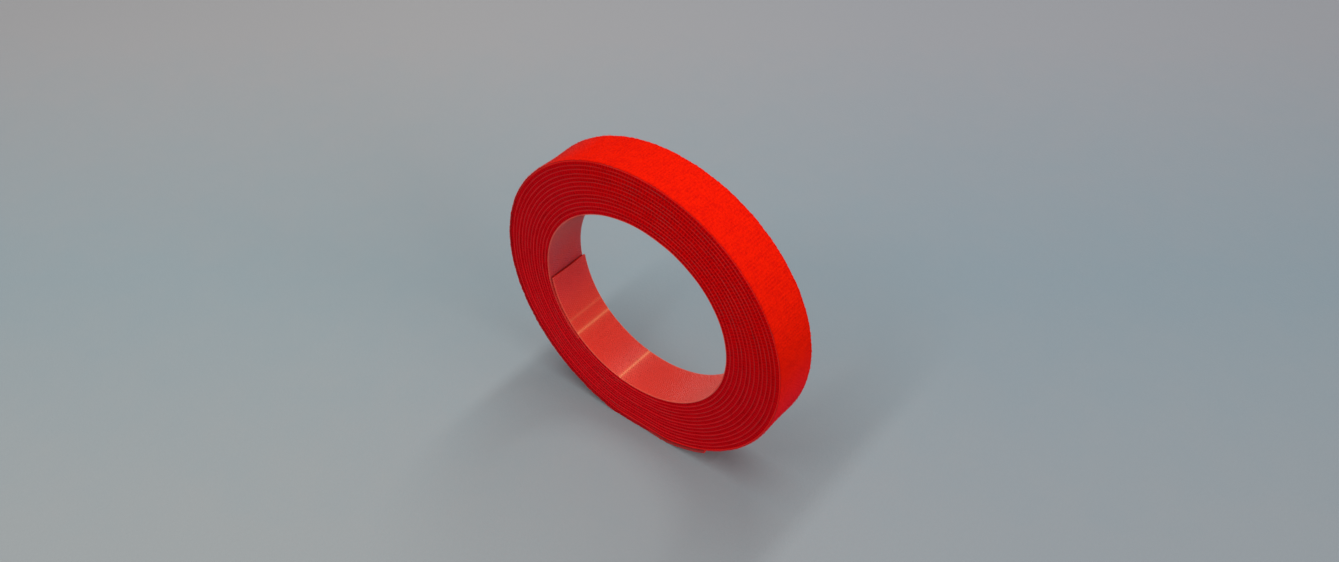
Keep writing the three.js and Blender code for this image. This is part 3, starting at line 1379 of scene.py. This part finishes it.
@dataclass(frozen=True)
class Studio:
    """The camera, the floor and the lights: a long lamp overhead, three softer ones and a faint room."""

    photo_width: int = 1339
    focal_pixels: float = 1200.0
    sensor: float = 36.0
    clip: Span = (0.01, 20.0)
    azimuth: float = 38.627
    elevation: float = 41.316
    offset_right: float = -17.140
    offset_up: float = -17.957
    distance: float = 7.036
    unit: float = 53.57
    anchor_x: float = -0.402
    anchor_z: float = 0.103
    floor_half: float = 8.0
    floor_lines: int = 24
    floor_drop: float = 0.00002
    lamps: tuple[Lamp, ...] = (
        Lamp("long_lamp", (-0.13, -0.12, 1.02), (0.11, 2.2), 11.5, aim=(-0.13, -0.12, 0.02)),
        Lamp("right_lamp", (2.0, -0.22, 0.83), (1.4, 1.4), 5.0, 75.0),
        Lamp("front_lamp", (-0.5, -1.35, 0.17), (0.6, 0.3), 0.28, 60.0),
        Lamp("back_lamp", (-1.1, 0.95, 0.16), (1.2, 0.3), 0.27, 60.0),
    )
    room_colour: Colour = (0.847, 0.87, 1.0, 1.0)
    room_strength: float = 0.25

    def camera(self, path: Winding) -> None:
        """Stands the camera where the photograph was taken from, aimed level with the frame's sides.

        Args:
            path: the winding, whose axis the camera's place is measured from.
        """
        turn, tilt = math.radians(self.azimuth), math.radians(self.elevation)
        back = Vector((math.sin(turn) * math.cos(tilt), -math.cos(turn) * math.cos(tilt), math.sin(tilt)))
        right = Vector((math.cos(turn), math.sin(turn), 0.0))
        up = back.cross(right)
        aside = right * (self.offset_right / self.focal_pixels) + up * (self.offset_up / self.focal_pixels)
        axis = Vector((path.axis_x + self.anchor_x, 0.0, path.axis_z + self.anchor_z)) * MM
        place = axis + (back - aside) * (self.distance * self.unit * MM)
        data = bpy.data.cameras.new("photo_camera")
        data.sensor_width = self.sensor
        data.lens = data.sensor_width * self.focal_pixels / self.photo_width
        data.clip_start, data.clip_end = self.clip
        seat = bpy.data.objects.new("photo_camera", data)
        seat.matrix_world = Matrix.Translation(place) @ Matrix((right, up, back)).transposed().to_4x4()
        bpy.context.scene.collection.objects.link(seat)
        bpy.context.scene.camera = seat

    def floor(self) -> None:
        """Lays a wide flat sheet of pale card, as a grid of two parameters."""
        count = self.floor_lines
        side = np.linspace(-self.floor_half, self.floor_half, count)
        x, y = np.meshgrid(side, side, indexing="ij")
        z = np.full_like(x, -self.floor_drop)
        points = np.stack([x, y, z], -1).reshape(-1, 3)
        grid = np.arange(count * count).reshape(count, count)
        faces = np.stack([grid[:-1, :-1], grid[1:, :-1], grid[1:, 1:], grid[:-1, 1:]], -1).reshape(-1, 4)
        mesh = bpy.data.meshes.new("floor")
        mesh.from_pydata(points.tolist(), [], faces.tolist())
        mesh.materials.append(PaperFinish().material())
        sheet = bpy.data.objects.new("floor", mesh)
        bpy.context.scene.collection.objects.link(sheet)

    def light(self) -> None:
        """Hangs the lamps and lights the room."""
        for lamp in self.lamps:
            lamp.hang()
        world = bpy.data.worlds.new("room")
        world.use_nodes = True
        room = world.node_tree.nodes["Background"]
        room.inputs["Color"].default_value = self.room_colour
        room.inputs["Strength"].default_value = self.room_strength
        bpy.context.scene.world = world
        bpy.context.scene.view_settings.view_transform = "Standard"


def report(piece: Object) -> Object:
    """Logs a piece's name and how many faces it has, and passes it on."""
    log.info("%s: %d faces", piece.name, len(piece.data.polygons))
    return piece


def main() -> None:
    """Sets the studio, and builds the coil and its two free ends."""
    logging.basicConfig(level=logging.INFO, format="%(name)s: %(message)s")
    path = Winding(Tape())
    tape = Laminate(path)
    studio = Studio()
    studio.camera(path)
    studio.floor()
    studio.light()
    coats = Coats(
        Coat(FilmFinish().material(), Slot.FILM),
        Coat(EdgeFinish().material(), Slot.FILM),
        Coat(BondFinish().material(), Slot.BOND),
        Coat(ClothFinish().material(), Slot.CLOTH),
    )
    outer_link = path.angle_of(OUTER_LINK, path.span)
    inner_link = path.angle_of(INNER_LINK, 0.0)
    peel = path.span - len(OUTER_JOINTS) * outer_link
    lift = len(INNER_JOINTS) * inner_link
    rim_face = path.tape.thickness
    outer = FreeEnd(tape, coats, "outer_end", OUTER_JOINTS, peel, outer_link, 1, path.span, rim_face)
    inner = FreeEnd(tape, coats, "inner_end", INNER_JOINTS, lift, inner_link, -1, 0.0, 0.0)
    start = lift + inner.lead * inner_link
    end = peel - outer.lead * outer_link
    WoundCoil(tape, coats, start, end, FULL_TURN + lift + BORE_LAP, peel).build()
    outer.build()
    inner.build()


if __name__ == "__main__":
    main()
